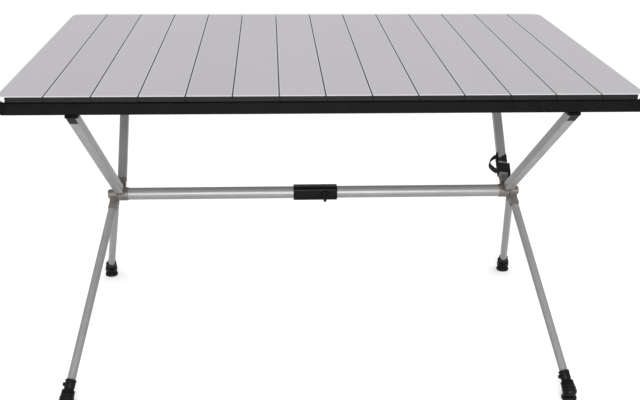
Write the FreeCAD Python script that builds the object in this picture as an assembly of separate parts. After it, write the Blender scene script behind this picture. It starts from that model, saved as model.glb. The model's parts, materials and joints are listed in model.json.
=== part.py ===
# Folding picnic table with a roll-up top: fourteen hollow aluminium slats strung on two
# elastic cords lie across two black side rails. Four arms rise from two hubs to carry the
# rails, four legs run down from the same hubs, and a two-piece stretcher ties the hubs.
# Millimetres. The origin is on the floor under the middle of the top, +Z up, X along the
# long side and -Y towards the front. Everything is drawn as the open, standing table.
import FreeCAD
import Part

import math
import os

V = FreeCAD.Vector

# ---- driving dimensions -------------------------------------------------------------
TOP_LENGTH = 1200.0
TOP_DEPTH = 804.0          # over the rails
TOP_HEIGHT = 700.0

SLAT_COUNT = 14
SLAT_GAP = 0.8
SLAT_THICK = 9.0
SLAT_EDGE_R = 0.8          # rounding of a slat's upper long edges
SLAT_FOOT_R = 0.5          # rounding of its lower long edges
SLAT_SKIN = 1.1            # top and bottom skins and the side walls
SLAT_RIB = 1.0
SLAT_CHAMBERS = 4
TONGUE = 2.2               # a tongue along each slat's right foot laps under the next slat
TONGUE_THICK = 1.0
REBATE_WIDTH = 3.2         # the next slat's left foot is cut away for it
REBATE_HEIGHT = 1.4
SLAT_SETBACK = 1.0         # slat ends stand this far inside the rails' outer faces
CORNER_R = 25.0            # rounded corners of the whole top
CORNER_SOLID = 26.0        # the outermost slats are solid this far in, behind those corners
CAP_FLANGE = 1.5
CAP_PLUG = 12.0
PLUG_CLEAR = 0.15

CORD_R = 1.75
CORD_HOLE_R = 2.3
CORD_Y = 270.0
KNOT_R = 2.9
KNOT_INSET = 38.0          # knots lie this far in from the ends of the top
CORD_BREAK = 0.02          # a cord's stretches part here, in the middle of a gap

RAIL_WIDTH = 24.0
RAIL_HEIGHT = 24.0
RAIL_WALL = 1.8
RAIL_CHAMFER = 3.0         # along the upper outer edge
RAIL_CHAMFER_SHRINK = 0.6  # how much of an inset the chamfer loses inside the rail
RAIL_EDGE = 1.2            # small chamfer along the lower outer edge
RAIL_BELOW_SLATS = 0.4     # daylight between a slat's underside and the rail
RAIL_SEAM_X = 43.0         # the rails are joined here, under the middle of a slat
RAIL_CAP = 20.0
RAIL_CAP_SKIN = 5.0        # a cap's plug stops this far behind its outer face
RAIL_CORNER_R = 18.0
JOINER_LENGTH = 160.0
SEAM_WIDTH = 0.5

HUB_X = 447.0              # the arms pivot here
HUB_Z = 361.0
HUB_R = 15.5
HUB_OUTER_R = 11.0         # its body is slimmer beyond the arms
HUB_STEP = 6.0             # how far beyond the arms' pivot it slims down
HUB_INNER = 16.0           # the hub's body runs this far inwards and outwards from there
HUB_OUTER = 27.0
HUB_BOSS_R = 9.0
HUB_BOSS_PROUD = 3.0
LEG_PIN_OUT = 17.0         # the legs pivot this much further out
PIN_FROM_AXIS = 27.0
LUG_ROOT = 3.0             # a lug starts this far from the hub's axis
PIN_R = 3.0
PIN_CLEAR = 0.05
PIN_HEAD_R = 5.0
PIN_HEAD = 1.6
LUG_HALF = 4.5
LUG_TIP_R = 8.5
EAR_THICK = 4.5
EAR_CLEAR = 0.4
FORK_CROTCH = 9.2
TUBE_START = 12.5          # from a pin's centre to the tube of its arm or leg
TUBE_PLUG = 30.0
FIT = 0.2

ARM_SIZE = 20.0            # square tube of an upper arm
ARM_WALL = 1.6
ARM_CORNER_R = 3.0
ARM_TOP = (465.0, 387.0, 660.0)   # where an arm's axis would meet the head's seat
ARM_MITRE_DROP = 22.0      # the tube is cut level, this far under the rail
ARM_TAB = 1.8              # its inner wall runs on upwards as a tab
HEAD_SEAT = 5.0
HEAD_HALF_LENGTH = 12.5
HEAD_LIP = 4.0
HEAD_LIP_HEIGHT = 17.0
TAB_GAP = 0.5              # daylight between that tab and the head's seat
HEAD_SETBACK = 1.5         # the seat stops this far inside the rail's outer face
HEAD_CLEAR = 1.2           # the head swings clear of the rail by this much, below and behind

LEG_R = 9.0
LEG_WALL = 1.5
ANKLE = (540.2, 331.0, 18.0)
ANKLE_COLLAR_R = 10.5
ANKLE_COLLAR = 35.0
BOOT_R = 14.0              # the collar swells to this at its lower end
BOOT_LENGTH = 12.0
SOCKET_FLOOR = 2.0         # thickness of the collar below the end of the tube
ANKLE_COLLAR_START = 11.0  # from the ankle pin up the leg to the collar
ANKLE_EAR = 3.6
ANKLE_EAR_R = 8.0
ANKLE_LUG_HALF = 4.6
ANKLE_PIN_R = 2.5
ANKLE_HEAD_R = 4.5
ANKLE_PIN_HEAD = 1.6
FOOT_PAD_R = 16.0
FOOT_NECK_R = 11.0
FOOT_PAD_HEIGHT = 8.5
FOOT_SOLE = 3.0

STRETCHER_R = 14.0
STRETCHER_WALL = 1.5
SPIGOT = 34.0
SPIGOT_CLEAR = 0.1
SLEEVE_HALF = 50.5
SLEEVE_SIZE = 32.0
SLEEVE_CORNER_R = 8.0
SLEEVE_EDGE_R = 1.5
SLEEVE_STOP = 1.5          # the two tube ends meet this far either side of the middle
LEVER_X = 22.0
LEVER_R = 8.5
LEVER_THICK = 6.0
LEVER_TAIL = 17.5
LEVER_TAIL_R = 2.2
LEVER_STEM_R = 3.0
LEVER_CLEAR = 0.3

STRAP_WIDTH = 25.0
STRAP_THICK = 2.4
STRAP_LOWER = 16.0         # where the two wraps start, measured up the arm from its pin
STRAP_UPPER = 52.0
STRAP_BULGE = 15.0
STRAP_LOOP_HALF = 9.0
STRAP_LOOP_TOP = 0.75      # where the loop meets the upper wrap, as a share of its width
BUCKLE_WIDTH = 32.0
BUCKLE_HEIGHT = 20.0
BUCKLE_THICK = 3.0
BUCKLE_SLOT = 5.0
BUCKLE_RIM = 3.0
BUCKLE_LIFT = 0.6          # from the strap's face to the buckle's back

FAR = 900.0                # half size of the blocks that trim an arm's top

# ---- sizes that follow --------------------------------------------------------------
PITCH = TOP_LENGTH / SLAT_COUNT
SLAT_WIDTH = PITCH - SLAT_GAP
SLAT_LOW = TOP_HEIGHT - SLAT_THICK
SLAT_MID = TOP_HEIGHT - SLAT_THICK / 2
SLAT_END = TOP_DEPTH / 2 - SLAT_SETBACK
RAIL_TOP = SLAT_LOW - RAIL_BELOW_SLATS
RAIL_LOW = RAIL_TOP - RAIL_HEIGHT
RAIL_INNER_Y = TOP_DEPTH / 2 - RAIL_WIDTH
SIDES = (("left", -1), ("right", 1))
ENDS = (("front", -1), ("rear", 1))


# ---- small tools --------------------------------------------------------------------
def box(x0, x1, y0, y1, z0, z1):
    return Part.makeBox(x1 - x0, y1 - y0, z1 - z0, V(x0, y0, z0))


def cylinder(radius, start, end):
    axis = end - start
    return Part.makeCylinder(radius, axis.Length, start, axis)


def rounded_outline(width, height, radius):
    """A closed wire about the origin in the local XY plane, with all four corners round."""
    w, h, r = width / 2, height / 2, radius
    k = r * (1 - math.sqrt(0.5))
    corners = [
        (V(w, -h + r, 0), V(w, h - r, 0), V(w - k, h - k, 0), V(w - r, h, 0)),
        (V(w - r, h, 0), V(-w + r, h, 0), V(-w + k, h - k, 0), V(-w, h - r, 0)),
        (V(-w, h - r, 0), V(-w, -h + r, 0), V(-w + k, -h + k, 0), V(-w + r, -h, 0)),
        (V(-w + r, -h, 0), V(w - r, -h, 0), V(w - k, -h + k, 0), V(w, -h + r, 0)),
    ]
    edges = []
    for start, end, middle, after in corners:
        edges.append(Part.makeLine(start, end))
        edges.append(Part.Arc(end, middle, after).toShape())
    return Part.Wire(edges)


def rounded_bar(width, height, radius, z0, z1):
    """A bar along local Z with a rounded rectangular section."""
    face = Part.Face(rounded_outline(width, height, radius))
    face.translate(V(0, 0, z0))
    return face.extrude(V(0, 0, z1 - z0))


def local_frame(origin, across, along):
    """Placement whose local Z runs along, whose local Y is nearest to across."""
    z = V(along).normalize()
    y = (across - z * across.dot(z)).normalize()
    x = y.cross(z)
    matrix = FreeCAD.Matrix(
        x.x, y.x, z.x, origin.x,
        x.y, y.y, z.y, origin.y,
        x.z, y.z, z.z, origin.z,
        0, 0, 0, 1,
    )
    return FreeCAD.Placement(matrix)


def placed(shape, placement):
    shape = shape.copy()
    shape.Placement = placement.multiply(shape.Placement)
    return shape


def tip_plate(half_width, thick_from, thick_to, length):
    """A plate with a round tip about the local origin, running up local Z."""
    disc = cylinder(half_width, V(0, thick_from, 0), V(0, thick_to, 0))
    body = box(-half_width, half_width, thick_from, thick_to, 0, length)
    return disc.fuse(body).removeSplitter()


def save(name, *solids):
    """Writes one node: a single solid, or several separate ones as a group."""
    shape = solids[0] if len(solids) == 1 else Part.makeCompound(list(solids))
    for solid in shape.Solids:
        if not solid.isValid() or solid.Volume <= 0:
            raise ValueError(f"{name} holds a solid that is not sound")
    shape.exportStep(os.path.join("parts", name + ".step"))


# ---- the top ------------------------------------------------------------------------
def slat_outline(width, rebated, tongued):
    """Section of a slat in the XZ plane, its lower left corner at the origin."""
    t, r, f = SLAT_THICK, SLAT_EDGE_R, SLAT_FOOT_R
    k = r * (1 - math.sqrt(0.5))
    j = f * (1 - math.sqrt(0.5))
    edges = []
    if rebated:
        left_foot = [V(0, 0, REBATE_HEIGHT), V(REBATE_WIDTH, 0, REBATE_HEIGHT), V(REBATE_WIDTH, 0, 0)]
        edges += [Part.makeLine(a, b) for a, b in zip(left_foot, left_foot[1:])]
    else:
        left_foot = [V(0, 0, f), V(f, 0, 0)]
        edges.append(Part.Arc(left_foot[0], V(j, 0, j), left_foot[1]).toShape())
    if tongued:
        reach = width + TONGUE
        right_foot = [V(reach, 0, 0), V(reach, 0, TONGUE_THICK), V(width, 0, TONGUE_THICK)]
        edges += [Part.makeLine(a, b) for a, b in zip(right_foot, right_foot[1:])]
    else:
        right_foot = [V(width - f, 0, 0), V(width, 0, f)]
        edges.append(Part.Arc(right_foot[0], V(width - j, 0, j), right_foot[1]).toShape())
    edges.append(Part.makeLine(left_foot[-1], right_foot[0]))
    edges.append(Part.makeLine(right_foot[-1], V(width, 0, t - r)))
    edges.append(Part.Arc(V(width, 0, t - r), V(width - k, 0, t - k), V(width - r, 0, t)).toShape())
    edges.append(Part.makeLine(V(width - r, 0, t), V(r, 0, t)))
    edges.append(Part.Arc(V(r, 0, t), V(k, 0, t - k), V(0, 0, t - r)).toShape())
    edges.append(Part.makeLine(V(0, 0, t - r), left_foot[0]))
    return Part.Wire(Part.__sortEdges__(edges))


def chamber_spans(width, solid_left, solid_right, count):
    """The hollow stretches across a slat, as pairs of X values from its left edge."""
    room = (width - solid_left - solid_right - SLAT_RIB * (count - 1)) / count
    start = solid_left
    return [(start + i * (room + SLAT_RIB), start + i * (room + SLAT_RIB) + room) for i in range(count)]


def corner_cutters(side):
    """What a rounded corner of the top takes away, at the front and at the rear."""
    cutters = []
    for _, end in ENDS:
        corner_x, corner_y = side * TOP_LENGTH / 2, end * SLAT_END
        centre_x, centre_y = corner_x - side * CORNER_R, corner_y - end * CORNER_R
        block = box(
            min(centre_x, corner_x + side), max(centre_x, corner_x + side),
            min(centre_y, corner_y + end), max(centre_y, corner_y + end),
            SLAT_LOW - 1, TOP_HEIGHT + 1,
        )
        low, high = V(centre_x, centre_y, SLAT_LOW - 2), V(centre_x, centre_y, TOP_HEIGHT + 2)
        cutters.append(block.cut(cylinder(CORNER_R - SLAT_GAP / 2, low, high)))
    return cutters


def make_slat(index):
    """One slat, its two end caps and its lengths of cord. Index 0 is at the left end."""
    left = -TOP_LENGTH / 2 + index * PITCH + SLAT_GAP / 2
    first, last = index == 0, index == SLAT_COUNT - 1
    solid_left = CORNER_SOLID if first else REBATE_WIDTH + SLAT_SKIN
    solid_right = CORNER_SOLID if last else SLAT_SKIN
    chambers = SLAT_CHAMBERS - 1 if first or last else SLAT_CHAMBERS
    spans = chamber_spans(SLAT_WIDTH, solid_left, solid_right, chambers)
    body_end = SLAT_END - CAP_FLANGE
    floor, roof = SLAT_LOW + SLAT_SKIN, TOP_HEIGHT - SLAT_SKIN

    section = Part.Face(slat_outline(SLAT_WIDTH, not first, not last))
    section.translate(V(left, -body_end, SLAT_LOW))
    slat = section.extrude(V(0, 2 * body_end, 0))
    for x0, x1 in spans:
        slat = slat.cut(box(left + x0, left + x1, -body_end, body_end, floor, roof))

    bore_from = left + (spans[0][0] + KNOT_R if first else -1)
    bore_to = left + (spans[-1][1] - KNOT_R if last else SLAT_WIDTH + 1)
    for y in (-CORD_Y, CORD_Y):
        slat = slat.cut(cylinder(CORD_HOLE_R, V(bore_from, y, SLAT_MID), V(bore_to, y, SLAT_MID)))

    caps = []
    for _, end in ENDS:
        flange = Part.Face(slat_outline(SLAT_WIDTH, not first, not last))
        flange.translate(V(left, end * body_end, SLAT_LOW))
        cap = flange.extrude(V(0, end * CAP_FLANGE, 0))
        for x0, x1 in spans:
            y_deep, y_face = end * (body_end - CAP_PLUG), end * (body_end + 1)
            plug = box(
                left + x0 + PLUG_CLEAR, left + x1 - PLUG_CLEAR,
                min(y_deep, y_face), max(y_deep, y_face),
                floor + PLUG_CLEAR, roof - PLUG_CLEAR,
            )
            cap = cap.fuse(plug)
        caps.append(cap.removeSplitter())

    if first or last:
        for cutter in corner_cutters(-1 if first else 1):
            slat = slat.cut(cutter)
            caps = [cap.cut(cutter) for cap in caps]
    return slat, caps + cord_lengths(index)


def cord_lengths(index):
    """The two elastic cords' stretches inside one slat, knotted in the outermost slats."""
    left = -TOP_LENGTH / 2 + index * PITCH
    reach = TOP_LENGTH / 2 - KNOT_INSET
    x0 = max(left + CORD_BREAK, -reach)
    x1 = min(left + PITCH - CORD_BREAK, reach)
    cords = []
    for y in (-CORD_Y, CORD_Y):
        cord = cylinder(CORD_R, V(x0, y, SLAT_MID), V(x1, y, SLAT_MID))
        for knot_x in (-reach, reach):
            if left < knot_x < left + PITCH:
                cord = cord.fuse(Part.makeSphere(KNOT_R, V(knot_x, y, SLAT_MID)))
        cords.append(cord)
    return cords


def rail_section(end, inset):
    """Section of a rail in the YZ plane, shrunk all round by inset."""
    outer = end * (TOP_DEPTH / 2 - inset)
    inner = end * (RAIL_INNER_Y + inset)
    low, high = RAIL_LOW + inset, RAIL_TOP - inset
    bevel = RAIL_CHAMFER - inset * RAIL_CHAMFER_SHRINK
    points = [
        V(0, inner, low),
        V(0, outer - end * RAIL_EDGE, low),
        V(0, outer, low + RAIL_EDGE),
        V(0, outer, high - bevel),
        V(0, outer - end * bevel, high),
        V(0, inner, high),
    ]
    return Part.Face(Part.makePolygon(points + points[:1]))


def rail_bar(end, inset, x0, x1):
    face = rail_section(end, inset)
    face.translate(V(x0, 0, 0))
    return face.extrude(V(x1 - x0, 0, 0))


def make_rail(end):
    """A side rail: two hollow lengths, the bar that joins them and two rounded end caps."""
    reach = TOP_LENGTH / 2 - RAIL_CAP
    lengths = []
    for x0, x1 in ((-reach, RAIL_SEAM_X - SEAM_WIDTH / 2), (RAIL_SEAM_X + SEAM_WIDTH / 2, reach)):
        lengths.append(rail_bar(end, 0, x0, x1).cut(rail_bar(end, RAIL_WALL, x0 - 1, x1 + 1)))
    fill = RAIL_WALL + PLUG_CLEAR
    joiner = rail_bar(end, fill, RAIL_SEAM_X - JOINER_LENGTH / 2, RAIL_SEAM_X + JOINER_LENGTH / 2)
    caps = []
    for _, side in SIDES:
        inner_x, outer_x = side * reach, side * TOP_LENGTH / 2
        plug_x, plug_end = inner_x - side * RAIL_CAP, outer_x - side * RAIL_CAP_SKIN
        cap = rail_bar(end, 0, min(inner_x, outer_x), max(inner_x, outer_x))
        plug = rail_bar(end, fill, min(plug_x, plug_end), max(plug_x, plug_end))
        cap = cap.fuse(plug).removeSplitter()
        centre_x = outer_x - side * RAIL_CORNER_R
        centre_y = end * (TOP_DEPTH / 2 - RAIL_CORNER_R)
        block = box(
            min(centre_x, outer_x + side), max(centre_x, outer_x + side),
            min(centre_y, centre_y + end * (RAIL_CORNER_R + 1)),
            max(centre_y, centre_y + end * (RAIL_CORNER_R + 1)),
            RAIL_LOW - 1, RAIL_TOP + 1,
        )
        low, high = V(centre_x, centre_y, RAIL_LOW - 2), V(centre_x, centre_y, RAIL_TOP + 2)
        caps.append(cap.cut(block.cut(cylinder(RAIL_CORNER_R, low, high))))
    return lengths + [joiner] + caps


# ---- hubs, arms and legs ------------------------------------------------------------
def limb_frame(side, pin_x, target):
    """Frame of an arm or leg: origin on its pin, Z along the limb, X inwards, Y along the pin."""
    hub = V(side * pin_x, 0, HUB_Z)
    radial = V(0, target.y, target.z - HUB_Z).normalize()
    pin = hub + radial * PIN_FROM_AXIS
    along = (target - pin).normalize()
    inward = V(-side, 0, 0)
    return local_frame(pin, along.cross(inward), along)


def fork(plug):
    """Two ears about the pin, a collar and a plug for the tube, in the limb's frame."""
    near = LUG_HALF + EAR_CLEAR
    piece = box(-LUG_TIP_R, LUG_TIP_R, -near - EAR_THICK, near + EAR_THICK, FORK_CROTCH, TUBE_START)
    for sign in (-1, 1):
        faces = sorted((sign * near, sign * (near + EAR_THICK)))
        piece = piece.fuse(tip_plate(LUG_TIP_R, faces[0], faces[1], TUBE_START))
    piece = piece.fuse(plug).removeSplitter()
    reach = near + EAR_THICK + 1
    return piece.cut(cylinder(PIN_R + PIN_CLEAR, V(0, -reach, 0), V(0, reach, 0)))


def pin():
    """A rivet along local Y, headed at both ends."""
    grip = LUG_HALF + EAR_CLEAR + EAR_THICK + FIT
    shaft = cylinder(PIN_R, V(0, -grip - PIN_HEAD / 2, 0), V(0, grip + PIN_HEAD / 2, 0))
    for sign in (-1, 1):
        shaft = shaft.fuse(cylinder(PIN_HEAD_R, V(0, sign * grip, 0), V(0, sign * (grip + PIN_HEAD), 0)))
    return shaft.removeSplitter()


def make_hub(side, limbs):
    """A hub and its four rivets. Each limb pivots on its own lug."""
    inner, outer = V(side * (HUB_X - HUB_INNER), 0, HUB_Z), V(side * (HUB_X + HUB_OUTER), 0, HUB_Z)
    outwards = V(side, 0, 0)
    spigot_r = STRETCHER_R - STRETCHER_WALL - SPIGOT_CLEAR
    bore_half = LUG_HALF + 1
    step = V(side * (HUB_X + HUB_STEP), 0, HUB_Z)
    hub = cylinder(HUB_R, inner, step).fuse(cylinder(HUB_OUTER_R, step - outwards, outer))
    hub = hub.fuse(cylinder(spigot_r, inner - outwards * SPIGOT, inner + outwards))
    hub = hub.fuse(cylinder(HUB_BOSS_R, outer - outwards, outer + outwards * HUB_BOSS_PROUD))
    pins = []
    for frame in limbs:
        centre = V(frame.Base.x, 0, HUB_Z)
        radial = (frame.Base - centre).normalize()
        across = frame.Rotation.multVec(V(0, 1, 0))
        lug_frame = local_frame(frame.Base, across, -radial)
        lug = tip_plate(LUG_TIP_R, -LUG_HALF, LUG_HALF, PIN_FROM_AXIS - LUG_ROOT)
        hub = hub.fuse(placed(lug, lug_frame))
        pins.append(placed(pin(), frame))
    hub = hub.removeSplitter()
    for frame in limbs:
        bore = cylinder(PIN_R + PIN_CLEAR, V(0, -bore_half, 0), V(0, bore_half, 0))
        hub = hub.cut(placed(bore, frame))
    return hub, pins


def make_arm(side, end):
    """An upper arm: its square tube, its fork and the head that seats the rail."""
    target = V(side * ARM_TOP[0], end * ARM_TOP[1], ARM_TOP[2])
    frame = limb_frame(side, HUB_X, target)
    reach = 2 * (target - frame.Base).Length
    seat_z = RAIL_LOW - HEAD_CLEAR
    mitre_z = RAIL_LOW - ARM_MITRE_DROP
    tab_z = seat_z - HEAD_SEAT - TAB_GAP
    inside = ARM_SIZE - 2 * ARM_WALL
    tab_zone = placed(box(ARM_SIZE / 2 - ARM_TAB, ARM_SIZE, -ARM_SIZE, ARM_SIZE, 0, reach), frame)

    outer = rounded_bar(ARM_SIZE, ARM_SIZE, ARM_CORNER_R, TUBE_START, reach)
    core = rounded_bar(inside, inside, ARM_CORNER_R - ARM_WALL, TUBE_START - 1, reach + 1)
    tube = placed(outer.cut(core), frame).cut(box(-FAR, FAR, -FAR, FAR, tab_z, FAR * 2))
    tube = tube.cut(box(-FAR, FAR, -FAR, FAR, mitre_z, FAR * 2).cut(tab_zone))

    plug_size = inside - 2 * FIT
    plug_r = ARM_CORNER_R - ARM_WALL
    stub = rounded_bar(plug_size, plug_size, plug_r, TUBE_START - 1, TUBE_START + TUBE_PLUG)
    arm_fork = placed(fork(stub), frame)

    axis = frame.Rotation.multVec(V(0, 0, 1))
    mitre_at = (mitre_z - frame.Base.z) / axis.z
    plug = placed(rounded_bar(plug_size, plug_size, plug_r, mitre_at - 2 * TUBE_PLUG, reach), frame)
    head_gap = placed(box(ARM_SIZE / 2 - ARM_TAB - FIT, ARM_SIZE, -ARM_SIZE, ARM_SIZE, 0, reach), frame)
    neck = placed(outer, frame).cut(box(-FAR, FAR, -FAR, FAR, -FAR, mitre_z + FIT)).cut(head_gap)
    head = plug.fuse(neck).cut(box(-FAR, FAR, -FAR, FAR, seat_z - HEAD_SEAT / 2, FAR * 2))
    seat_x = side * ARM_TOP[0]
    inner_y = end * (RAIL_INNER_Y - HEAD_CLEAR)
    lip_y = inner_y - end * HEAD_LIP
    outer_y = end * (TOP_DEPTH / 2 - HEAD_SETBACK)
    x0, x1 = seat_x - HEAD_HALF_LENGTH, seat_x + HEAD_HALF_LENGTH
    seat_low = seat_z - HEAD_SEAT
    seat = box(x0, x1, min(lip_y, outer_y), max(lip_y, outer_y), seat_low, seat_z)
    lip = box(x0, x1, min(lip_y, inner_y), max(lip_y, inner_y), seat_low, seat_z + HEAD_LIP_HEIGHT)
    head = head.fuse(seat).fuse(lip).removeSplitter()
    return frame, tube, [arm_fork, head]


def make_leg(side, end):
    """A lower leg: its round tube, its fork, the ankle collar with its pin, and the foot."""
    ankle = V(side * ANKLE[0], end * ANKLE[1], ANKLE[2])
    frame = limb_frame(side, HUB_X + LEG_PIN_OUT, ankle)
    length = (ankle - frame.Base).Length
    collar_low = length - ANKLE_COLLAR_START
    tube_end = collar_low - SOCKET_FLOOR
    inner_r = LEG_R - LEG_WALL
    tube = cylinder(LEG_R, V(0, 0, TUBE_START), V(0, 0, tube_end))
    tube = tube.cut(cylinder(inner_r, V(0, 0, TUBE_START - 1), V(0, 0, tube_end + 1)))
    stub = cylinder(inner_r - FIT, V(0, 0, TUBE_START - 1), V(0, 0, TUBE_START + TUBE_PLUG))
    leg_fork = fork(stub)

    axis = frame.Rotation.multVec(V(0, 0, 1))
    ankle_frame = local_frame(ankle, axis.cross(V(0, 0, 1)), -axis)
    collar_top = ANKLE_COLLAR_START + ANKLE_COLLAR
    collar = cylinder(ANKLE_COLLAR_R, V(0, 0, ANKLE_COLLAR_START), V(0, 0, collar_top))
    boot_top = ANKLE_COLLAR_START + BOOT_LENGTH
    collar = collar.fuse(cylinder(BOOT_R, V(0, 0, ANKLE_COLLAR_START), V(0, 0, boot_top)))
    socket_from, socket_to = V(0, 0, ANKLE_COLLAR_START + SOCKET_FLOOR), V(0, 0, collar_top + 1)
    collar = collar.cut(cylinder(LEG_R + PLUG_CLEAR, socket_from, socket_to))
    near = ANKLE_LUG_HALF + EAR_CLEAR
    for sign in (-1, 1):
        faces = sorted((sign * near, sign * (near + ANKLE_EAR)))
        collar = collar.fuse(tip_plate(ANKLE_EAR_R, faces[0], faces[1], ANKLE_COLLAR_START + 1))
    grip = near + ANKLE_EAR
    bore = cylinder(ANKLE_PIN_R + PIN_CLEAR, V(0, -grip - 1, 0), V(0, grip + 1, 0))
    collar = collar.removeSplitter().cut(bore)
    ankle_pin = cylinder(ANKLE_PIN_R, V(0, -grip - 1, 0), V(0, grip + 1, 0))
    for sign in (-1, 1):
        head_from, head_to = V(0, sign * (grip + FIT), 0), V(0, sign * (grip + ANKLE_PIN_HEAD), 0)
        ankle_pin = ankle_pin.fuse(cylinder(ANKLE_HEAD_R, head_from, head_to))
    ankle_pin = ankle_pin.removeSplitter()

    pad = Part.makeCone(FOOT_PAD_R, FOOT_NECK_R, FOOT_PAD_HEIGHT - FOOT_SOLE, V(ankle.x, ankle.y, FOOT_SOLE))
    sole = cylinder(FOOT_PAD_R, V(ankle.x, ankle.y, 0), V(ankle.x, ankle.y, FOOT_SOLE))
    upright = local_frame(ankle, axis.cross(V(0, 0, 1)), V(0, 0, -1))
    lug = placed(tip_plate(ANKLE_EAR_R, -ANKLE_LUG_HALF, ANKLE_LUG_HALF, ankle.z - FOOT_SOLE), upright)
    foot = sole.fuse(pad).fuse(lug).removeSplitter()
    foot = foot.cut(placed(bore, upright))
    fittings = [placed(leg_fork, frame), placed(collar, ankle_frame), placed(ankle_pin, ankle_frame)]
    return frame, placed(tube, frame), fittings, foot


# ---- stretcher ----------------------------------------------------------------------
def make_stretcher():
    """The two stretcher tubes, the coupling sleeve and its clamp lever."""
    hub_face = HUB_X - HUB_INNER - FIT
    tubes = []
    for _, side in SIDES:
        start, end = V(side * hub_face, 0, HUB_Z), V(side * SLEEVE_STOP, 0, HUB_Z)
        reach = (end - start).normalize()
        tube = cylinder(STRETCHER_R, start, end)
        tubes.append(tube.cut(cylinder(STRETCHER_R - STRETCHER_WALL, start - reach, end + reach)))

    along_x = local_frame(V(-SLEEVE_HALF, 0, HUB_Z), V(0, 0, 1), V(1, 0, 0))
    sleeve = placed(rounded_bar(SLEEVE_SIZE, SLEEVE_SIZE, SLEEVE_CORNER_R, 0, 2 * SLEEVE_HALF), along_x)
    sleeve = sleeve.makeFillet(SLEEVE_EDGE_R, [e for e in sleeve.Edges if e.BoundBox.XLength < 0.01])
    bore_r = STRETCHER_R + PIN_CLEAR
    sleeve = sleeve.cut(cylinder(bore_r, V(-SLEEVE_HALF - 1, 0, HUB_Z), V(SLEEVE_HALF + 1, 0, HUB_Z)))
    face_y = -SLEEVE_SIZE / 2
    stem_end = -STRETCHER_R - LEVER_CLEAR
    hole_from, hole_to = V(LEVER_X, face_y - 1, HUB_Z), V(LEVER_X, -STRETCHER_R + 1, HUB_Z)
    sleeve = sleeve.cut(cylinder(LEVER_STEM_R + PIN_CLEAR, hole_from, hole_to))

    back, front = face_y - LEVER_CLEAR, face_y - LEVER_CLEAR - LEVER_THICK
    lever = cylinder(LEVER_R, V(LEVER_X, back, HUB_Z), V(LEVER_X, front, HUB_Z))
    tip_z = HUB_Z - LEVER_TAIL + LEVER_TAIL_R
    lean = math.asin((LEVER_R - LEVER_TAIL_R) / (HUB_Z - tip_z))
    wide, narrow = LEVER_R * math.cos(lean), LEVER_TAIL_R * math.cos(lean)
    high, low = HUB_Z - LEVER_R * math.sin(lean), tip_z - LEVER_TAIL_R * math.sin(lean)
    flank = [
        V(LEVER_X - wide, back, high), V(LEVER_X + wide, back, high),
        V(LEVER_X + narrow, back, low), V(LEVER_X - narrow, back, low),
    ]
    tail = Part.Face(Part.makePolygon(flank + flank[:1])).extrude(V(0, front - back, 0))
    tail_tip = cylinder(LEVER_TAIL_R, V(LEVER_X, back, tip_z), V(LEVER_X, front, tip_z))
    stem = cylinder(LEVER_STEM_R, V(LEVER_X, back - 1, HUB_Z), V(LEVER_X, stem_end, HUB_Z))
    lever = lever.fuse(tail).fuse(tail_tip).fuse(stem).removeSplitter()
    return tubes, sleeve, lever


# ---- strap --------------------------------------------------------------------------
def make_strap(frame):
    """The storage strap: two wraps round an arm and a slack loop between them."""
    inner = ARM_SIZE + 2 * PLUG_CLEAR
    outer = inner + 2 * STRAP_THICK
    pieces = []
    for start in (STRAP_LOWER, STRAP_UPPER):
        wrap = rounded_bar(outer, outer, ARM_CORNER_R + STRAP_THICK, start, start + STRAP_WIDTH)
        pieces.append(wrap.cut(rounded_bar(inner, inner, ARM_CORNER_R, start - 1, start + STRAP_WIDTH + 1)))
    x = outer / 2 + PLUG_CLEAR
    low, high = STRAP_LOWER + STRAP_WIDTH / 2, STRAP_UPPER + STRAP_WIDTH * STRAP_LOOP_TOP
    middle = (low + high) / 2
    y = -STRAP_LOOP_HALF
    outer_arc = Part.Arc(V(x, y, low), V(x + STRAP_BULGE, y, middle), V(x, y, high)).toShape()
    inner_arc = Part.Arc(
        V(x, y, high - STRAP_THICK), V(x + STRAP_BULGE - STRAP_THICK, y, middle), V(x, y, low + STRAP_THICK)
    ).toShape()
    closing = [
        Part.makeLine(V(x, y, high), V(x, y, high - STRAP_THICK)),
        Part.makeLine(V(x, y, low + STRAP_THICK), V(x, y, low)),
    ]
    loop = Part.Face(Part.Wire([outer_arc, closing[0], inner_arc, closing[1]]))
    pieces.append(loop.extrude(V(0, 2 * STRAP_LOOP_HALF, 0)))
    return [placed(piece, frame) for piece in pieces]


def make_buckle(frame):
    """The strap's ladder buckle, lying on the outer face of the lower wrap."""
    x = -(ARM_SIZE / 2 + PLUG_CLEAR + STRAP_THICK + BUCKLE_LIFT)
    middle = STRAP_LOWER + STRAP_WIDTH / 2
    half, tall = BUCKLE_WIDTH / 2, BUCKLE_HEIGHT / 2
    buckle = box(x - BUCKLE_THICK, x, -tall, tall, middle - half, middle + half)
    for y in (-tall / 2, tall / 2):
        y0, y1 = y - BUCKLE_SLOT / 2, y + BUCKLE_SLOT / 2
        z0, z1 = middle - half + BUCKLE_RIM, middle + half - BUCKLE_RIM
        slot = box(x - BUCKLE_THICK - 1, x + 1, y0, y1, z0, z1)
        buckle = buckle.cut(slot)
    return placed(buckle, frame)


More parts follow.
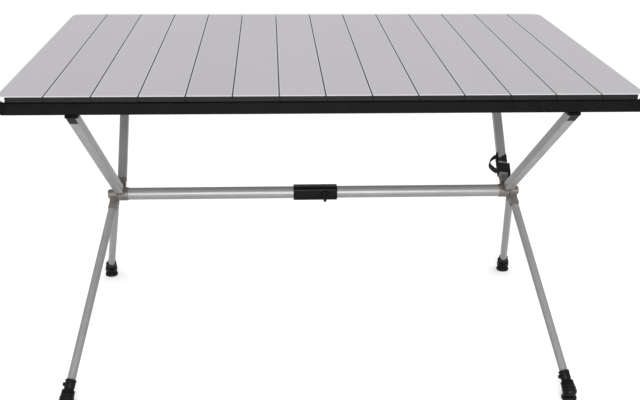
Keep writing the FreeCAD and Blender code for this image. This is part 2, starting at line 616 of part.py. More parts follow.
# ---- the whole table ----------------------------------------------------------------
def main():
    os.makedirs("parts", exist_ok=True)
    for index in range(SLAT_COUNT):
        slat, fittings = make_slat(index)
        save(f"slat_{index + 1:02d}", slat)
        save(f"slat_fittings_{index + 1:02d}", *fittings)
    for end_name, end in ENDS:
        save(f"{end_name}_rail", *make_rail(end))

    for side_name, side in SIDES:
        frames = []
        for end_name, end in ENDS:
            frame, tube, fittings = make_arm(side, end)
            frames.append(frame)
            save(f"arm_tube_{end_name}_{side_name}", tube)
            save(f"arm_fittings_{end_name}_{side_name}", *fittings)
            if (side_name, end_name) == ("right", "rear"):
                save("storage_strap", *make_strap(frame))
                save("strap_buckle", make_buckle(frame))
            frame, tube, fittings, foot = make_leg(side, end)
            frames.append(frame)
            save(f"leg_tube_{end_name}_{side_name}", tube)
            save(f"leg_fittings_{end_name}_{side_name}", *fittings)
            save(f"foot_{end_name}_{side_name}", foot)
        hub, pins = make_hub(side, frames)
        save(f"hub_{side_name}", hub)
        save(f"hub_rivets_{side_name}", *pins)

    tubes, sleeve, lever = make_stretcher()
    for (side_name, _), tube in zip(SIDES, tubes):
        save(f"stretcher_tube_{side_name}", tube)
    save("coupling_sleeve", sleeve)
    save("clamp_lever", lever)


main()
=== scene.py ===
import json
import logging
import math
from dataclasses import dataclass
from enum import Enum

import bmesh
import bpy
from bmesh.types import BMesh
from bpy.types import Material, NodeSocket, Object
from mathutils import Matrix, Vector


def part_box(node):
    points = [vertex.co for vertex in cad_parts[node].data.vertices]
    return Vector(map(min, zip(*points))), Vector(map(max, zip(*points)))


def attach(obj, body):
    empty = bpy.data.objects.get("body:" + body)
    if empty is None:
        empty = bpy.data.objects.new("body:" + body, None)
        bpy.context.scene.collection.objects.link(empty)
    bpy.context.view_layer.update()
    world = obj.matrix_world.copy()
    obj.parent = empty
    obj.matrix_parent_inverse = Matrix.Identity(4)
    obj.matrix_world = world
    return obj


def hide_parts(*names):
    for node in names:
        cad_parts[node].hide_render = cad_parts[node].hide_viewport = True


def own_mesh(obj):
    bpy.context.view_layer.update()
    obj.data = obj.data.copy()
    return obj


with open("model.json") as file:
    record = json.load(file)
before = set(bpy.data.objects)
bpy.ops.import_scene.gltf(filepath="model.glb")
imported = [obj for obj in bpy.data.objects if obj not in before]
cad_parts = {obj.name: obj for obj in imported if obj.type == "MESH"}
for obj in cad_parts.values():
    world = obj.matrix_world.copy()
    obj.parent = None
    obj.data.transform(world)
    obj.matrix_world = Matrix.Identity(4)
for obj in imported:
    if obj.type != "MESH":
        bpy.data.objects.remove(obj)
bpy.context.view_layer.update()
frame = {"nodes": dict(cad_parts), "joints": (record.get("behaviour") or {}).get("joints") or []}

log = logging.getLogger("picnic_table")
MM = 0.001
WELD_REACH = 0.002 * MM
FLAT_ANGLE = math.radians(0.4)
TURN_STEPS = 64
Colour = tuple[float, float, float]


class Side(Enum):
    """The two ends of the stretcher."""

    LEFT = -1
    RIGHT = 1


class End(Enum):
    """The two long edges of the top."""

    FRONT = -1
    REAR = 1


# ---- finishes -----------------------------------------------------------------------
class Shade:
    """A node tree for one finish, with a Principled surface at its end."""

    def __init__(self, name: str) -> None:
        """Starts an empty tree.

        Args:
            name: the material's name.
        """
        self.material = bpy.data.materials.new(name)
        self.material.use_nodes = True
        self.tree = self.material.node_tree
        self.tree.nodes.clear()
        output = self.tree.nodes.new("ShaderNodeOutputMaterial")
        self.skin = self.tree.nodes.new("ShaderNodeBsdfPrincipled")
        self.join(self.skin.outputs["BSDF"], output.inputs["Surface"])

    def join(self, source: NodeSocket, target: NodeSocket) -> None:
        """Links two sockets.

        Args:
            source: the output that is read.
            target: the input that it feeds.
        """
        self.tree.links.new(source, target)

    def coordinates(self, scale: Vector, turn: tuple[float, float, float] = (0, 0, 0),
                    source: str = "Object") -> NodeSocket:
        """Turns and stretches the piece's own coordinates.

        Args:
            scale: factor along each axis after the turn.
            turn: Euler angles of the turn.
            source: "Object" or "UV".

        Returns:
            The mapped vector.
        """
        texture = self.tree.nodes.new("ShaderNodeTexCoord")
        turned = self.tree.nodes.new("ShaderNodeMapping")
        turned.inputs["Rotation"].default_value = turn
        self.join(texture.outputs[source], turned.inputs["Vector"])
        stretched = self.tree.nodes.new("ShaderNodeMapping")
        stretched.inputs["Scale"].default_value = scale
        self.join(turned.outputs["Vector"], stretched.inputs["Vector"])
        return stretched.outputs["Vector"]

    def noise(self, vector: NodeSocket, scale: float, detail: float = 3.0) -> NodeSocket:
        """A noise pattern.

        Args:
            vector: where to read it.
            scale: how fine it is.
            detail: octaves of finer noise.

        Returns:
            Its value, around 0.5.
        """
        node = self.tree.nodes.new("ShaderNodeTexNoise")
        node.inputs["Scale"].default_value = scale
        node.inputs["Detail"].default_value = detail
        self.join(vector, node.inputs["Vector"])
        return node.outputs["Fac"]

    def spread(self, value: NodeSocket, low: float, high: float, start: float = 0.3,
               stop: float = 0.7) -> NodeSocket:
        """Maps a value onto a new range and clamps it.

        Args:
            value: the value to map.
            low: result at start.
            high: result at stop.
            start: input that gives low.
            stop: input that gives high.

        Returns:
            The mapped value.
        """
        node = self.tree.nodes.new("ShaderNodeMapRange")
        node.inputs["From Min"].default_value = start
        node.inputs["From Max"].default_value = stop
        node.inputs["To Min"].default_value = low
        node.inputs["To Max"].default_value = high
        self.join(value, node.inputs["Value"])
        return node.outputs["Result"]

    def maths(self, operation: str, *operands: NodeSocket | float) -> NodeSocket:
        """One step of arithmetic.

        Args:
            operation: the Math node's operation.
            operands: one or two sockets or numbers.

        Returns:
            The result.
        """
        node = self.tree.nodes.new("ShaderNodeMath")
        node.operation = operation
        for operand, socket in zip(operands, node.inputs):
            if isinstance(operand, (int, float)):
                socket.default_value = operand
            else:
                self.join(operand, socket)
        return node.outputs["Value"]

    def blend(self, share: NodeSocket, *colours: Colour | NodeSocket) -> NodeSocket:
        """Mixes two colours.

        Args:
            share: 0 for the first, 1 for the second.
            colours: two colours or colour sockets.

        Returns:
            The mixed colour.
        """
        node = self.tree.nodes.new("ShaderNodeMix")
        node.data_type = "RGBA"
        self.join(share, node.inputs["Factor"])
        for colour, socket in zip(colours, (node.inputs[6], node.inputs[7])):
            if isinstance(colour, tuple):
                socket.default_value = (*colour, 1.0)
            else:
                self.join(colour, socket)
        return node.outputs[2]

    def bump(self, height: NodeSocket, strength: float, depth: float) -> None:
        """Raises the surface by a height pattern.

        Args:
            height: the pattern.
            strength: 0 to 1.
            depth: height of the pattern in metres.
        """
        node = self.tree.nodes.new("ShaderNodeBump")
        node.inputs["Strength"].default_value = strength
        node.inputs["Distance"].default_value = depth
        self.join(height, node.inputs["Height"])
        self.join(node.outputs["Normal"], self.skin.inputs["Normal"])


def dark_and_light(colour: Colour, change: float) -> tuple[Colour, Colour]:
    """A colour made darker and lighter by the same share.

    Args:
        colour: the middle colour.
        change: share of the change.

    Returns:
        The darker and the lighter colour.
    """
    return tuple(c * (1 - change) for c in colour), tuple(c * (1 + change) for c in colour)


@dataclass(frozen=True)
class BrushedSlat:
    """Anodised slats, brushed along their length, each a touch its own tone, with painted highlights along
    their edges and ends and painted shade in the gaps.
    """

    colour: Colour = (0.425, 0.407, 0.432)
    # painted highlight: the pale colour laid along the slats' long edges and across their ends
    edge: Colour = (0.72, 0.71, 0.73)
    # painted shade: near-black laid in the gaps between slats
    gap_shade: Colour = (0.06, 0.06, 0.065)
    pitch: float = 1.2 / 14
    left: float = -0.6
    half_length: float = 0.3995
    # reach of the painted highlight beside each gap
    edge_highlight_line: tuple[float, float] = (2.0 * MM, 3.4 * MM)
    # reach of the painted shade in each gap
    gap_shade_line: tuple[float, float] = (1.3 * MM, 1.8 * MM)
    # reach of the painted highlight band at each slat end
    end_highlight_band: tuple[float, float] = (9 * MM, 5 * MM)
    roughness: float = 0.36
    metallic: float = 0.85

    def material(self) -> Material:
        """Builds the finish.

        Returns:
            The material.
        """
        shade = Shade("slat_brushed")
        lines = shade.noise(shade.coordinates(Vector((1, 0.006, 1))), 2600, 2)
        clouds = shade.noise(shade.coordinates(Vector((1, 0.35, 1))), 14, 3)
        split = shade.tree.nodes.new("ShaderNodeSeparateXYZ")
        shade.join(shade.coordinates(Vector((1, 1, 1))), split.inputs["Vector"])
        across = shade.maths("DIVIDE", shade.maths("SUBTRACT", split.outputs["X"], self.left), self.pitch)
        own = shade.tree.nodes.new("ShaderNodeTexWhiteNoise")
        own.noise_dimensions = "1D"
        shade.join(shade.maths("FLOOR", across), own.inputs["W"])
        dark, light = dark_and_light(self.colour, 0.05)
        tone = shade.maths("MULTIPLY", shade.maths("ADD", own.outputs["Value"], clouds), 0.5)
        face = shade.blend(tone, dark, light)
        fraction = shade.maths("FRACT", across)
        to_side = shade.maths("MINIMUM", fraction, shade.maths("SUBTRACT", 1.0, fraction))
        # painted highlight beside each gap between slats
        side = shade.spread(to_side, 0.5, 0.0, *(reach / self.pitch for reach in self.edge_highlight_line))
        # painted shade in each gap between slats
        gap_shade_share = shade.spread(to_side, 1.0, 0.0, *(reach / self.pitch for reach in self.gap_shade_line))
        to_end = shade.maths("ABSOLUTE", split.outputs["Y"])
        # painted highlight band along both slat ends
        end = shade.spread(to_end, 0.0, 0.9, *(self.half_length - reach for reach in self.end_highlight_band))
        # the painted highlights mixed over the slat's own colour
        lit = shade.blend(shade.maths("MAXIMUM", side, end), face, self.edge)
        # painted shade laid over the gaps
        colour = shade.blend(gap_shade_share, lit, self.gap_shade)
        shade.join(colour, shade.skin.inputs["Base Color"])
        shade.skin.inputs["Metallic"].default_value = self.metallic
        roughness = shade.spread(lines, self.roughness - 0.06, self.roughness + 0.08)
        shade.join(roughness, shade.skin.inputs["Roughness"])
        shade.bump(lines, 0.12, 0.02 * MM)
        return shade.material


@dataclass(frozen=True)
class SatinTube:
    """Drawn aluminium tube with faint die lines along its length."""

    name: str
    turn: tuple[float, float, float]
    colour: Colour = (0.135, 0.133, 0.131)
    roughness: float = 0.36
    metallic: float = 0.2

    def material(self) -> Material:
        """Builds the finish.

        Returns:
            The material.
        """
        shade = Shade(self.name)
        lines = shade.noise(shade.coordinates(Vector((1, 1, 0.004)), self.turn), 1500, 2)
        clouds = shade.noise(shade.coordinates(Vector((1, 1, 1))), 30, 4)
        dark, light = dark_and_light(self.colour, 0.06)
        colour = shade.blend(shade.spread(clouds, 0, 1), dark, light)
        shade.join(colour, shade.skin.inputs["Base Color"])
        shade.skin.inputs["Metallic"].default_value = self.metallic
        roughness = shade.spread(lines, self.roughness - 0.07, self.roughness + 0.1)
        shade.join(roughness, shade.skin.inputs["Roughness"])
        shade.bump(lines, 0.2, 0.03 * MM)
        return shade.material


@dataclass(frozen=True)
class Grained:
    """A dark or cast finish: fine grain over slow patches."""

    name: str
    colour: Colour
    roughness: float
    metallic: float = 0.0
    patch_scale: float = 60
    grain_scale: float = 1800
    change: float = 0.2
    grain: float = 0.25
    depth: float = 0.06
    shine: float = 0.5

    def material(self) -> Material:
        """Builds the finish.

        Returns:
            The material.
        """
        shade = Shade(self.name)
        plain = shade.coordinates(Vector((1, 1, 1)))
        patches = shade.noise(plain, self.patch_scale, 5)
        grain = shade.noise(plain, self.grain_scale, 2)
        dark, light = dark_and_light(self.colour, self.change)
        shade.join(shade.blend(shade.spread(patches, 0, 1), dark, light), shade.skin.inputs["Base Color"])
        shade.skin.inputs["Metallic"].default_value = self.metallic
        shade.skin.inputs["Specular IOR Level"].default_value = self.shine
        roughness = shade.spread(patches, self.roughness - 0.07, self.roughness + 0.07)
        shade.join(roughness, shade.skin.inputs["Roughness"])
        shade.bump(grain, self.grain, self.depth * MM)
        return shade.material


@dataclass(frozen=True)
class Webbing:
    """Black woven strap. The pattern follows the strap's own UV map, in metres along it."""

    colour: Colour = (0.003, 0.003, 0.0033)
    thread: float = 1.3 * MM
    highlight: float = 3.2
    roughness: float = 0.8
    shine: float = 0.12

    def material(self) -> Material:
        """Builds the finish.

        Returns:
            The material.
        """
        shade = Shade("strap_webbing")
        along = shade.tree.nodes.new("ShaderNodeSeparateXYZ")
        shade.join(shade.coordinates(Vector((1, 1, 1)), source="UV"), along.inputs["Vector"])
        turn = 2 * math.pi / self.thread
        warp = shade.maths("SINE", shade.maths("MULTIPLY", along.outputs["X"], turn))
        weft = shade.maths("SINE", shade.maths("MULTIPLY", along.outputs["Y"], turn))
        weave = shade.maths("MULTIPLY", warp, weft)
        lit = tuple(c * self.highlight for c in self.colour)
        colour = shade.blend(shade.spread(weave, 0, 1, -1, 1), self.colour, lit)
        shade.join(colour, shade.skin.inputs["Base Color"])
        shade.skin.inputs["Roughness"].default_value = self.roughness
        shade.skin.inputs["Specular IOR Level"].default_value = self.shine
        shade.bump(weave, 0.7, 0.35 * MM)
        return shade.material


class Finishes:
    """The table's shared finishes, made once."""

    def __init__(self) -> None:
        """Builds the shared materials."""
        self.slat = BrushedSlat().material()
        self.rail = Grained(
            "rail_paint", (0.0022, 0.0022, 0.0024), 0.42, patch_scale=25, grain_scale=1300,
            change=0.25, grain=0.16, depth=0.05, shine=0.03,
        ).material()
        self.plastic = Grained("black_moulding", (0.002, 0.002, 0.0022), 0.42, shine=0.05).material()
        self.caps = Grained("slat_end_plastic", (0.0055, 0.0055, 0.006), 0.5, shine=0.06).material()
        self.rubber = Grained(
            "foot_rubber", (0.0022, 0.0022, 0.0022), 0.45, grain=0.4, shine=0.1,
        ).material()
        self.casting = Grained(
            "hub_casting", (0.07, 0.061, 0.056), 0.5, metallic=0.2, patch_scale=120,
            grain_scale=900, change=0.22, grain=0.5, depth=0.1,
        ).material()
        self.steel = Grained(
            "rivet_steel", (0.09, 0.085, 0.08), 0.45, metallic=0.6, patch_scale=90,
            grain_scale=1500, change=0.12, grain=0.1,
        ).material()
        self.webbing = Webbing().material()


# ---- making pieces ------------------------------------------------------------------
def finish_piece(bm: BMesh, name: str, body: str, material: Material,
                 stands_for: tuple[str, ...] = (), crease: float = 35.0) -> Object:
    """Turns a finished bmesh into a piece that rides on a body.

    Args:
        bm: the shape, in the row frame; it is freed.
        name: the piece's name.
        body: the body it rides on.
        material: its finish.
        stands_for: nodes that it replaces.
        crease: edges sharper than this many degrees stay sharp.

    Returns:
        The new object.
    """
    bmesh.ops.recalc_face_normals(bm, faces=bm.faces)
    for face in bm.faces:
        face.smooth = True
    for edge in bm.edges:
        edge.smooth = not (edge.is_manifold and edge.calc_face_angle(0.0) > math.radians(crease))
    mesh = bpy.data.meshes.new(name)
    bm.to_mesh(mesh)
    bm.free()
    mesh.materials.append(material)
    piece = bpy.data.objects.new(name, mesh)
    bpy.context.scene.collection.objects.link(piece)
    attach(piece, body)
    if stands_for:
        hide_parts(*stands_for)
    log.info("%s on %s, %d faces", name, body, len(mesh.polygons))
    return piece


def dress(node: str, material: Material) -> None:
    """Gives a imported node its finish.

    Args:
        node: the node's name.
        material: its finish.
    """
    data = frame["nodes"][node].data
    data.materials.clear()
    data.materials.append(material)
    log.info("dressed %s", node)


def solids(node: str, near: Vector) -> list[BMesh]:
    """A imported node's separate solids, without the flat faces' triangles.

    Args:
        node: the node.
        near: the solids are sorted by their distance from this point.

    Returns:
        One shape for each solid.
    """
    bm = bmesh.new()
    bm.from_mesh(frame["nodes"][node].data)
    bmesh.ops.remove_doubles(bm, verts=bm.verts, dist=WELD_REACH)
    bmesh.ops.dissolve_limit(bm, angle_limit=FLAT_ANGLE, verts=bm.verts, edges=bm.edges)
    bm.verts.index_update()
    waiting = set(bm.verts)
    found = []
    while waiting:
        front = [waiting.pop()]
        group = set(front)
        while front:
            beside = {edge.other_vert(vert) for vert in front for edge in vert.link_edges} - group
            group |= beside
            front = list(beside)
        waiting -= group
        kept = {vert.index for vert in group}
        solid = bm.copy()
        spare = [vert for vert in solid.verts if vert.index not in kept]
        bmesh.ops.delete(solid, geom=spare, context="VERTS")
        middle = sum((vert.co for vert in group), Vector()) / len(group)
        found.append(((middle - near).length, len(found), solid))
    bm.free()
    return [solid for _, _, solid in sorted(found, key=lambda entry: entry[:2])]


def soften(piece: Object, width: float, segments: int = 2) -> Object:
    """Breaks a piece's edges.

    Args:
        piece: the piece.
        width: size of the broken edges.
        segments: facets across each.

    Returns:
        The same piece.
    """
    bevel = piece.modifiers.new("broken_edges", "BEVEL")
    bevel.width = width
    bevel.segments = segments
    bevel.limit_method = "ANGLE"
    bevel.angle_limit = math.radians(38)
    return piece


def softened(node: str, body: str, material: Material, width: float) -> Object:
    """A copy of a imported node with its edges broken, standing for the node.

    Args:
        node: the node.
        body: the body it rides on.
        material: its finish.
        width: size of the broken edges.

    Returns:
        The new piece.
    """
    whole = bmesh.new()
    for solid in solids(node, Vector()):
        merge(whole, solid)
    return soften(finish_piece(whole, "soft_" + node, body, material, (node,)), width)


def ribbon(path: list[Vector], across: Vector, widths: list[float], place: Matrix) -> BMesh:
    """A strip of webbing, mapped in metres along and across it.

    Args:
        path: the middle line of the strip's start edge.
        across: unit direction of its width.
        widths: how far each row of the strip lies along that direction, rising.
        place: the local frame.

    Returns:
        The strip, open and without thickness.
    """
    bm = bmesh.new()
    run = bm.verts.layers.float.new("run")
    row = bm.verts.layers.float.new("row")
    uv = bm.loops.layers.uv.new("weave")
    line, travelled = [], 0.0
    for index, point in enumerate(path):
        travelled += (point - path[index - 1]).length if index else 0.0
        vert = bm.verts.new(point + across * widths[0])
        vert[run], vert[row] = travelled, widths[0]
        line.append(vert)
    edges = [bm.edges.new(pair) for pair in zip(line, line[1:])]
    for before, after in zip(widths, widths[1:]):
        grown = bmesh.ops.extrude_edge_only(bm, edges=edges)["geom"]
        fresh = [part for part in grown if isinstance(part, bmesh.types.BMVert)]
        edges = [part for part in grown if isinstance(part, bmesh.types.BMEdge)]
        bmesh.ops.translate(bm, verts=fresh, vec=across * (after - before))
        for vert in fresh:
            vert[row] = after
    for face in bm.faces:
        for corner in face.loops:
            corner[uv].uv = (corner.vert[run], corner.vert[row])
    bmesh.ops.transform(bm, matrix=place, verts=bm.verts)
    return bm


def square_turns(half: float, corner: float, turns: float, thickness: float, slope: float) -> list[Vector]:
    """A line wound round a square bar about the local Z axis.

    Args:
        half: from the axis to the line's flat runs.
        corner: radius of its corners.
        turns: how many times it goes round.
        thickness: how far each turn lies outside the one below.
        slope: rise along Z for each metre along X, so that the winding lies aslant.

    Returns:
        The line's points.
    """
    points = []
    steps = int(TURN_STEPS * turns)
    for step in range(steps + 1):
        angle = 2 * math.pi * step / TURN_STEPS
        grown = half + thickness * step / TURN_STEPS
        flat = grown - corner
        square = max(abs(math.cos(angle)), abs(math.sin(angle)))
        x, y = math.cos(angle) / square * grown, math.sin(angle) / square * grown
        centre = Vector((max(-flat, min(flat, x)), max(-flat, min(flat, y)), 0))
        off = Vector((x, y, 0)) - centre
        point = centre + off.normalized() * corner if off.length > 1e-9 else Vector((x, y, 0))
        points.append(point + Vector((0, 0, point.x * slope)))
    return points


def lathe(profile: list[tuple[float, float]], place: Matrix, steps: int = 40) -> BMesh:
    """Turns a profile about the local Z axis.

    Args:
        profile: radius and height of each point in millimetres, from one pole to the other.
        place: the local frame.
        steps: divisions of the full turn.

    Returns:
        The closed shape in the row frame.
    """
    bm = bmesh.new()
    line = [bm.verts.new((radius * MM, 0, height * MM)) for radius, height in profile]
    edges = [bm.edges.new(pair) for pair in zip(line, line[1:])]
    bmesh.ops.spin(bm, geom=line + edges, cent=(0, 0, 0), axis=(0, 0, 1), angle=2 * math.pi,
                   steps=steps, use_merge=True)
    bmesh.ops.remove_doubles(bm, verts=bm.verts, dist=0.01 * MM)
    bmesh.ops.transform(bm, matrix=place, verts=bm.verts)
    return bm


def merge(target: BMesh, part: BMesh) -> None:
    """Adds a part to a shape and frees the part.

    Args:
        target: the shape that grows.
        part: what is added.
    """
    scratch = bpy.data.meshes.new("scratch")
    part.to_mesh(scratch)
    part.free()
    target.from_mesh(scratch)
    bpy.data.meshes.remove(scratch)


def axes(origin: Vector, along: Vector, across: Vector) -> Matrix:
    """A frame with Z along one direction and Y nearest another.

    Args:
        origin: its origin.
        along: its Z axis.
        across: the direction that its Y axis keeps to.

    Returns:
        The frame.
    """
    z = along.normalized()
    y = (across - z * across.dot(z)).normalized()
    turn = Matrix((y.cross(z), y, z)).transposed().to_4x4()
    return Matrix.Translation(origin) @ turn


def joint(name: str) -> dict:
    """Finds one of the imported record's joints.

    Args:
        name: the joint's name.

    Returns:
        The record's entry for it.
    """
    return next(j for j in frame["joints"] if j["name"] == name)


# ---- the table ----------------------------------------------------------------------
@dataclass
class Top:
    """The roll-up top: slats, their end fittings, and the two side rails."""

    finishes: Finishes
    slats: int = 14

    def build(self) -> None:
        """Dresses the slats, fittings and rails."""
        for number in range(1, self.slats + 1):
            dress(f"slat_{number:02d}", self.finishes.slat)
            dress(f"slat_fittings_{number:02d}", self.finishes.caps)
        for end in End:
            dress(f"{end.name.lower()}_rail", self.finishes.rail)


@dataclass
class Limb:
    """One upper arm or lower leg, found from its pivot."""

    kind: str
    side: Side
    end: End

    @property
    def body(self) -> str:
        """The body that the limb's pieces ride on.

        Returns:
            The body's name.
        """
        return f"{self.kind}_{self.end.name.lower()}_{self.side.name.lower()}"

    @property
    def tag(self) -> str:
        """The end of its nodes' names.

        Returns:
            Such as front_left.
        """
        return f"{self.end.name.lower()}_{self.side.name.lower()}"

    def place(self) -> Matrix:
        """The limb's frame.

        Returns:
            Origin on the pivot, Z along the limb, Y along the pin.
        """
        pivot = joint(f"{self.body}_fold")
        origin = Vector(pivot["pos_m"])
        low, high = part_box(f"{self.kind}_tube_{self.tag}")
        along = (low + high) / 2 - origin
        return axes(origin, along, Vector(pivot["axis"]))


@dataclass
class Frame:
    """The hubs, arms, legs and stretcher."""

    finishes: Finishes
    edge: float = 0.5 * MM
    flutes: int = 24
    flute_share: float = 0.045
    flute_start: float = 11.2 * MM
    boss_out: float = 10.4 * MM
    boss_up: float = 35 * MM

    def build(self) -> None:
        """Dresses the tubes and makes the castings, forks and rivets."""
        for side in Side:
            name = side.name.lower()
            body = f"frame_{name}"
            tube = SatinTube(f"stretcher_{name}_tube", (0, math.pi / 2, 0)).material()
            dress(f"stretcher_tube_{name}", tube)
            softened(f"hub_{name}", body, self.finishes.casting, self.edge)
            softened(f"hub_rivets_{name}", body, self.finishes.steel, self.edge)
            for end in End:
                for kind in ("arm", "leg"):
                    self.build_limb(Limb(kind, side, end))

    def build_limb(self, limb: Limb) -> None:
        """Dresses one arm or leg, and makes its fork, its far fittings and its foot.

        Args:
            limb: which one.
        """
        place = limb.place()
        turn = place.to_3x3().transposed().to_euler()
        dress(f"{limb.kind}_tube_{limb.tag}", SatinTube(f"{limb.body}_tube", tuple(turn)).material())
        looks = [("fork", self.finishes.casting, "hub_casting")]
        if limb.kind == "arm":
            looks.append(("head", self.finishes.plastic, "black_moulding"))
        else:
            looks.append(("collar", self.finishes.plastic, "black_moulding"))
            looks.append(("ankle_pin", self.finishes.steel, "rivet_steel"))
        node = f"{limb.kind}_fittings_{limb.tag}"
        for solid, (part, material, slot) in zip(solids(node, place.translation), looks, strict=True):
            name = f"{limb.kind}_{part}_{limb.tag}"
            piece = finish_piece(solid, name, limb.body, material, (node,))
            soften(piece, self.edge)
        if limb.kind == "leg":
            self.build_foot(limb)
            self.build_boot(limb, place)

    def build_foot(self, limb: Limb) -> None:
        """A swivel foot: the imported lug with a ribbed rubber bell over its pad.

        Args:
            limb: the leg it belongs to.
        """
        body = f"foot_{limb.tag}"
        softened(body, body, self.finishes.rubber, self.edge)
        low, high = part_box(body)
        centre = Vector(((low.x + high.x) / 2, (low.y + high.y) / 2, 0))
        profile = [(9.0, 0.5), (15.6, 0.5), (16.5, 1.4), (16.7, 3.2), (16.2, 5.4), (15.4, 7.6),
                   (13.0, 9.4), (9.0, 9.8)]
        bell = lathe(profile + profile[:1], Matrix.Identity(4), steps=96)
        for vert in bell.verts:
            flute = 0.5 + 0.5 * math.cos(self.flutes * math.atan2(vert.co.y, vert.co.x))
            if vert.co.xy.length > self.flute_start:
                vert.co.xy *= 1 - self.flute_share * flute
        bmesh.ops.translate(bell, verts=bell.verts, vec=centre)
        finish_piece(bell, f"foot_bell_{limb.tag}", body, self.finishes.rubber, crease=50)

    def build_boot(self, limb: Limb, place: Matrix) -> None:
        """The ribbed boot round a leg's ankle, with a bead at its top and a boss on its left.

        Args:
            limb: the leg it belongs to.
            place: the leg's frame.
        """
        ankle = Vector(joint(f"foot_{limb.tag}_swivel")["pos_m"])
        up = -(place.to_3x3() @ Vector((0, 0, 1)))
        left = Vector((-1, 0, 0))
        upright = axes(ankle, up, left)
        profile = [(0, -13), (6, -12.4), (10.5, -10), (13.6, -6.5), (14.6, -5), (14.9, -3), (15.9, -2),
                   (15.9, 0.6), (14.9, 1.6), (14.9, 4), (15.7, 5), (15.6, 7.6), (14.5, 8.6), (14.2, 11),
                   (14.8, 12), (14.3, 14.4), (13.0, 15.4), (12.2, 18), (12.4, 19), (11.6, 21.4),
                   (10.9, 22.4), (10.8, 28), (11.2, 29), (11.2, 42), (12.0, 43), (12.0, 45.4),
                   (11.2, 46.2), (9.2, 46.2)]
        boot = lathe(profile, upright, steps=56)
        bmesh.ops.holes_fill(boot, edges=[edge for edge in boot.edges if edge.is_boundary], sides=0)
        finish_piece(boot, f"leg_boot_{limb.tag}", limb.body, self.finishes.rubber)
        seat = upright @ Matrix.Translation((0, self.boss_out, self.boss_up))
        seat = seat @ Matrix.Rotation(-math.pi / 2, 4, "X")
        knob = [(0, 4.6), (3.2, 4.6), (4.1, 3.8), (4.4, 2.6), (4.4, -1.5), (0, -1.5)]
        boss = lathe(knob, seat, steps=28)
        finish_piece(boss, f"leg_boss_{limb.tag}", limb.body, self.finishes.plastic)


@dataclass
class Coupling:
    """The sleeve over the stretcher's joint, and the lever that clamps it."""

    finishes: Finishes
    edge: float = 0.6 * MM
    cap_sunk: float = 0.3 * MM

    def build(self) -> None:
        """Makes the sleeve and lever."""
        softened("coupling_sleeve", "frame_left", self.finishes.plastic, self.edge)
        softened("clamp_lever", "clamp_lever", self.finishes.plastic, self.edge)
        self.build_cap()

    def build_cap(self) -> None:
        """A dished cap with two rings on the lever's disc."""
        pivot = Vector(joint("clamp_turn")["pos_m"])
        low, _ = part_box("clamp_lever")
        seat = Vector((pivot.x, low.y + self.cap_sunk, pivot.z))
        place = axes(seat, Vector((0, -1, 0)), Vector((0, 0, 1)))
        profile = [(0, 0.9), (2.2, 0.9), (2.6, 0.5), (3.4, 0.5), (3.9, 1.3), (5.2, 1.3), (5.7, 0.6),
                   (6.6, 0.6), (7.0, 1.1), (7.7, 0.9), (8.0, 0), (0, 0)]
        cap = lathe(profile, place, steps=48)
        finish_piece(cap, "lever_cap", "clamp_lever", self.finishes.plastic)


@dataclass
class Strap:
    """The storage strap: two slanted windings on an arm, a flat run and a slack loop between them."""

    finishes: Finishes
    width: float = 25 * MM
    thickness: float = 1.2 * MM
    lower: float = 17 * MM
    upper: float = 47 * MM
    corner: float = 4 * MM
    half: float = 10.7 * MM
    lap: float = 1.05
    lower_turns: float = 1.6
    lower_slope: float = 0.1
    upper_turns: float = 1.15
    upper_slope: float = 0.2
    run_gap: float = 1.0 * MM
    run_heights: range = range(31, 61, 3)
    loop_gap: float = 2.6 * MM
    loop_start: float = 25 * MM
    loop_rise: float = 42 * MM
    loop_steps: int = 24
    bulge: float = 17 * MM

    def build(self) -> None:
        """Makes the windings, the runs between them and the buckle."""
        limb = Limb("arm", Side.RIGHT, End.REAR)
        place = limb.place()
        across = Vector((0, 1, 0))
        windings = (
            ("strap_lower", self.lower, self.lower_turns, self.lower_slope),
            ("strap_upper", self.upper, self.upper_turns, self.upper_slope),
        )
        for name, start, turns, slope in windings:
            line = square_turns(self.half, self.corner, turns, self.thickness * self.lap, slope)
            frame_up = place @ Matrix.Translation((0, 0, start))
            self.weave(ribbon(line, Vector((0, 0, 1)), self.rows(self.width), frame_up), name, ())
        flat = [Vector((self.half + self.run_gap, 0, height * MM)) for height in self.run_heights]
        self.weave(ribbon(flat, across, self.rows(16 * MM, -9 * MM), place), "strap_run", ())
        loop = []
        for step in range(self.loop_steps + 1):
            share = step / self.loop_steps
            out = self.half + self.loop_gap + self.bulge * math.sin(math.pi * share) ** 0.8
            loop.append(Vector((out, 0, self.loop_start + self.loop_rise * share)))
        strip = ribbon(loop, across, self.rows(18 * MM, -8 * MM), place)
        slack = self.weave(strip, "strap_loop", ("storage_strap",))
        f"{limb.body}_fold"
        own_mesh(slack)
        softened("strap_buckle", limb.body, self.finishes.plastic, 0.5 * MM)

    def rows(self, width: float, start: float = 0.0) -> list[float]:
        """Rows across a strip, the outer ones close to its edges.

        Args:
            width: the strip's width.
            start: where it begins.

        Returns:
            The rows.
        """
        return [start + width * share for share in (0, 0.06, 0.2, 0.4, 0.6, 0.8, 0.94, 1)]

    def weave(self, bm: BMesh, name: str, stands_for: tuple[str, ...]) -> Object:
        """Gives a strip its thickness and finish.

        Args:
            bm: the strip.
            name: the piece's name.
            stands_for: nodes that it replaces.

        Returns:
            The new piece.
        """
        webbing = self.finishes.webbing
        piece = finish_piece(bm, name, "arm_rear_right", webbing, stands_for, crease=180)
        thick = piece.modifiers.new("thickness", "SOLIDIFY")
        thick.thickness = self.thickness
        thick.offset = 0
        return piece


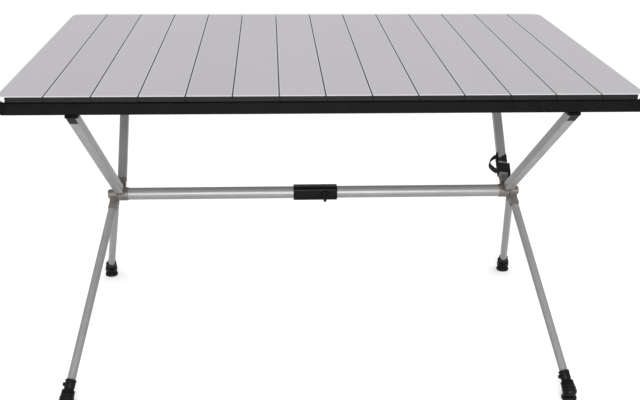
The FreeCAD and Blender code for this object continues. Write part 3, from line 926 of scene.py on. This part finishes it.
@dataclass
class Studio:
    """Camera, lights and floor."""

    eye: Vector = Vector((-0.10292, -2.17608, 1.18383))
    yaw: float = 3.01
    pitch: float = 21.15
    roll: float = 0.52
    lens: float = 56.277
    floor_size: float = 60.0

    def build(self) -> None:
        """Makes everything that isn't the table."""
        self.camera()
        self.floor()
        self.light()

    def camera(self) -> None:
        """Sets the camera above the front edge, looking down on the top."""
        yaw, pitch, roll = (math.radians(angle) for angle in (self.yaw, self.pitch, self.roll))
        data = bpy.data.cameras.new("camera")
        data.lens = self.lens
        data.sensor_width = 36.0
        camera = bpy.data.objects.new("camera", data)
        bpy.context.scene.collection.objects.link(camera)
        turn = Matrix.Rotation(-yaw, 4, "Z") @ Matrix.Rotation(math.pi / 2 - pitch, 4, "X")
        camera.matrix_world = Matrix.Translation(self.eye) @ turn @ Matrix.Rotation(roll, 4, "Z")
        bpy.context.scene.camera = camera

    def floor(self) -> None:
        """A wide pale floor."""
        bm = bmesh.new()
        bmesh.ops.create_grid(bm, x_segments=1, y_segments=1, size=self.floor_size / 2)
        mesh = bpy.data.meshes.new("floor")
        bm.to_mesh(mesh)
        bm.free()
        shade = Shade("floor_paper")
        shade.skin.inputs["Base Color"].default_value = (0.93, 0.93, 0.93, 1)
        shade.skin.inputs["Roughness"].default_value = 0.9
        mesh.materials.append(shade.material)
        floor = bpy.data.objects.new("floor", mesh)
        bpy.context.scene.collection.objects.link(floor)

    def light(self) -> None:
        """Even light from all round, two soft boxes above and one low in front."""
        bpy.context.scene.view_settings.view_transform = "Standard"
        world = bpy.data.worlds.new("studio")
        bpy.context.scene.world = world
        world.use_nodes = True
        world.node_tree.nodes["Background"].inputs["Color"].default_value = (1, 1, 1, 1)
        world.node_tree.nodes["Background"].inputs["Strength"].default_value = 1.0
        for name, spot, aim, size, power in (
            ("key", (-1.6, -2.4, 3.2), (0, 0, 0.4), 2.2, 16),
            ("fill", (2.4, -1.0, 2.6), (0, 0, 0.4), 2.0, 10),
            ("low_front", (0.0, -5.2, 1.5), (0, 0, 0.5), 2.6, 420),
        ):
            data = bpy.data.lights.new(name, "AREA")
            data.size = size
            data.energy = power
            lamp = bpy.data.objects.new(name, data)
            lamp.location = spot
            lamp.rotation_euler = (Vector(aim) - Vector(spot)).to_track_quat("-Z", "Y").to_euler()
            bpy.context.scene.collection.objects.link(lamp)


def main() -> None:
    """Builds the table and its studio in order."""
    logging.basicConfig(level=logging.INFO, format="%(name)s: %(message)s")
    finishes = Finishes()
    for assembly in (Studio(), Top(finishes), Frame(finishes), Coupling(finishes), Strap(finishes)):
        log.info("building %s", type(assembly).__name__)
        assembly.build()


if __name__ == "__main__":
    main()
